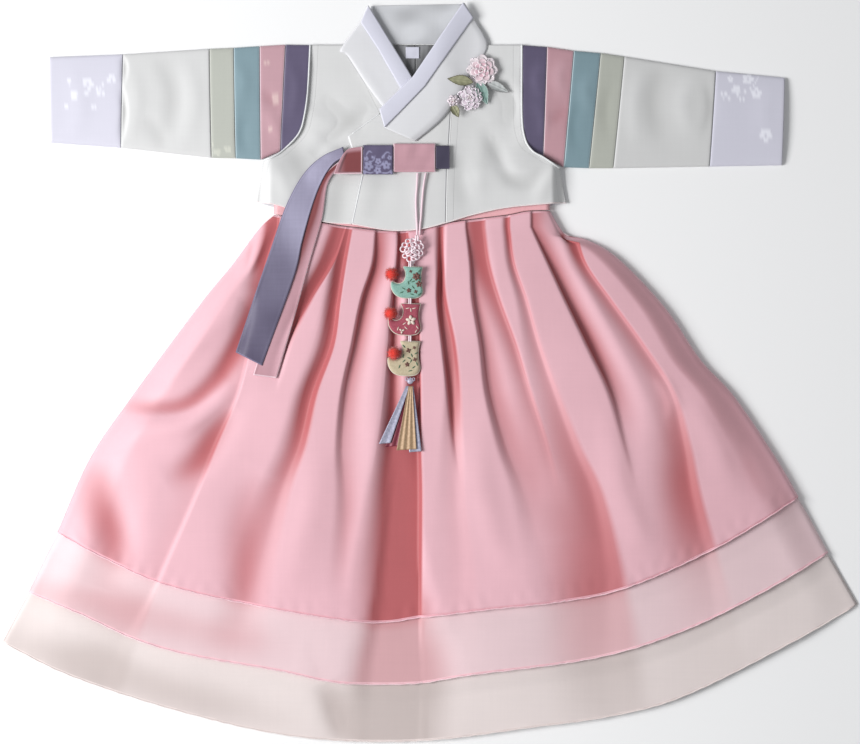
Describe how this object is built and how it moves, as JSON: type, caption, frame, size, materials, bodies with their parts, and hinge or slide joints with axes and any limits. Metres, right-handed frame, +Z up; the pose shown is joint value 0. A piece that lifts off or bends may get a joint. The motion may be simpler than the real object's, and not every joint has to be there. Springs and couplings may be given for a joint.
{
  "type": "korean hanbok",
  "caption": "Child's hanbok laid flat: a short ivory jacket with striped sleeves, a tied front and a hanging ornament, over a pleated pink skirt with layered hems.",
  "frame": {"origin": "on the table, under the middle of the garment", "axes": "+X across the garment from the wearer's right sleeve to the left one, +Y from the hem up to the collar, +Z up out of the table"},
  "size_m": [0.8288, 0.7154, 0.0365],
  "materials": {
    "ivory": "matte woven ivory organza over lining",
    "white": "satin, cool white",
    "sage": "satin",
    "teal": "satin",
    "rose": "satin",
    "purple": "satin",
    "dark_purple": "satin",
    "skirt_pink": "soft sheen",
    "skirt_pale": "soft sheen",
    "skirt_ivory": "soft sheen",
    "mint": "satin",
    "wine": "satin",
    "cream": "satin",
    "red": "fluffy yarn",
    "gold": "lustrous ribbon",
    "silver": "lustrous ribbon",
    "leaf": "sheer organza"
  },
  "bodies": {
    "root": {"skirt_outer": "skirt_pink", "waistband": "skirt_pink", "skirt_middle": "skirt_pale", "skirt_under": "skirt_ivory", "back_left": "ivory", "back_right": "ivory", "front_under": "ivory", "front_outer": "ivory", "overlap_panel": "ivory", "collar_back": "ivory", "collar_left": "ivory", "collar_right": "ivory", "collar_strip_left": "white", "collar_strip_right": "white", "label": "white", "sleeve_left_cuff": "white", "armhole_piping_left": "white", "sleeve_left_ivory": "ivory", "sleeve_left_sage": "sage", "sleeve_left_teal": "teal", "sleeve_left_pink": "rose", "ornament_cord_left": "rose", "sleeve_left_purple": "purple", "sleeve_right_cuff": "white", "armhole_piping_right": "white", "sleeve_right_ivory": "ivory", "sleeve_right_sage": "sage", "sleeve_right_teal": "teal", "sleeve_right_pink": "rose", "ornament_cord_right": "rose", "sleeve_right_purple": "purple", "tie_tail_pink": "rose", "tie_fold_pink": "rose", "tie_loop_pink": "rose", "ornament_knot": "rose", "flower_upper": "rose", "flower_lower": "rose", "flower_bud": "rose", "tie_tail_purple": "purple", "tie_wrap_purple": "purple", "tie_end_purple": "dark_purple", "charm_mint": "mint", "charm_wine": "wine", "charm_cream": "cream", "pompom_mint": "red", "pompom_wine": "red", "pompom_cream": "red", "tassel_knot": "silver", "tassel_ribbon_silver": "silver", "tassel_ribbon_white": "silver", "leaf_grey": "silver", "tassel_ribbon_wine": "wine", "tassel_ribbon_gold": "gold", "leaf_left": "leaf", "leaf_small": "leaf", "leaf_green": "teal"}
  },
  "joints": []
}
